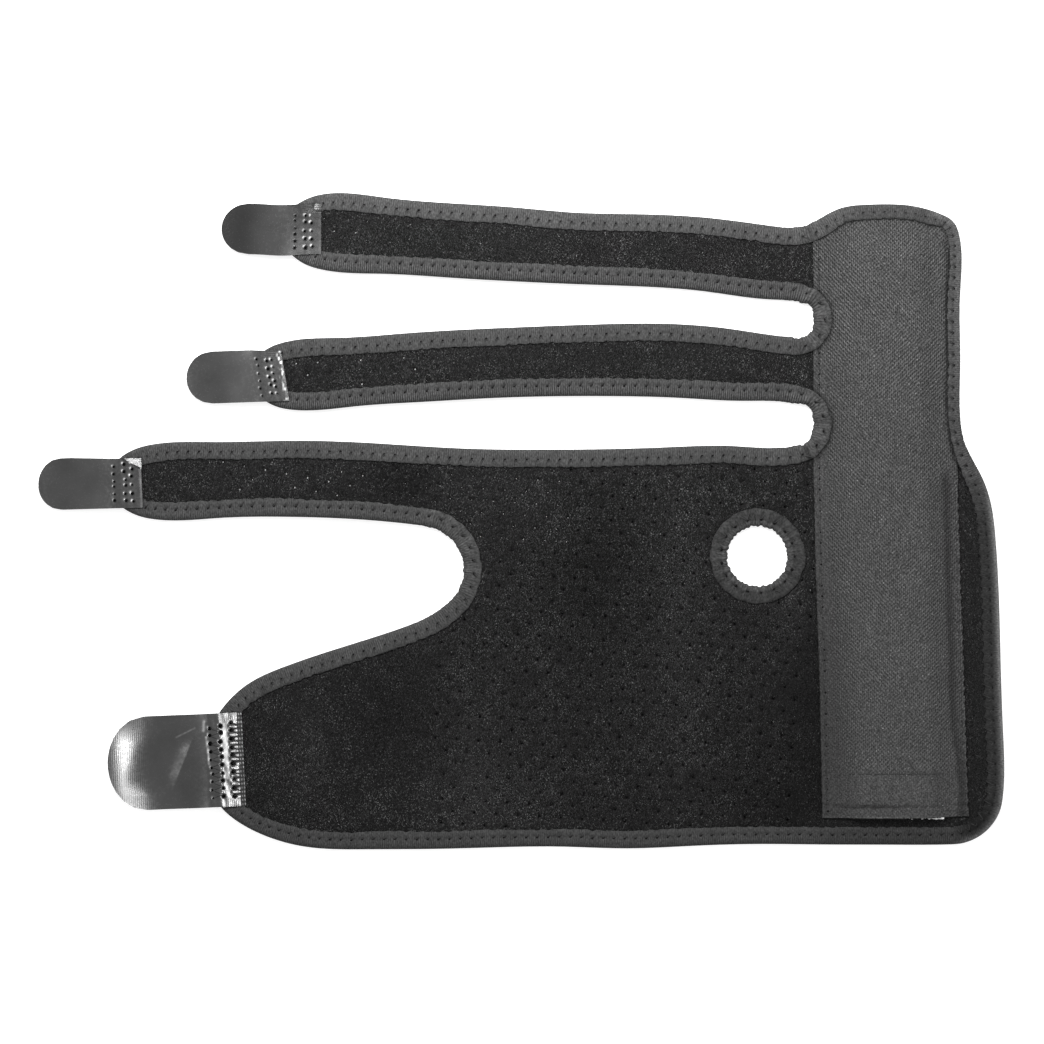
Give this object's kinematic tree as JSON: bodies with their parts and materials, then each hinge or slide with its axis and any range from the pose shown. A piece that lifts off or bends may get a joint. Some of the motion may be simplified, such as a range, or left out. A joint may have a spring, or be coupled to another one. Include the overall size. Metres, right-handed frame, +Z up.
{
  "type": "thumb support",
  "caption": "Wrap-round thumb and wrist support laid open: bound foam panel with straps, hook tabs, a thumb hole and a cloth stay pocket.",
  "frame": {"origin": "centre of the bounding box, on the surface the support lies on", "axes": "+X from the strap ends to the stay pocket, +Y from the wrist tongue to the upper strap, +Z up out of the skin side"},
  "size_m": [0.3614, 0.2458, 0.0058],
  "materials": {
    "napped_foam": "perforated foam faced with a short dark nap",
    "binding_tape": "ribbed knitted tape, matte",
    "woven_cloth": "diagonal weave with a slight sheen",
    "hook_plastic": "moulded hook strip, semi-gloss with fine lines"
  },
  "bodies": {
    "root": {"panel": "napped_foam", "edge_binding": "binding_tape", "thumb_hole_binding": "binding_tape", "stay_pocket": "woven_cloth", "mouth_hook_strip": "hook_plastic", "upper_strap_tab": "hook_plastic", "middle_strap_tab": "hook_plastic", "lower_strap_tab": "hook_plastic", "wrist_tab": "hook_plastic"}
  },
  "joints": []
}
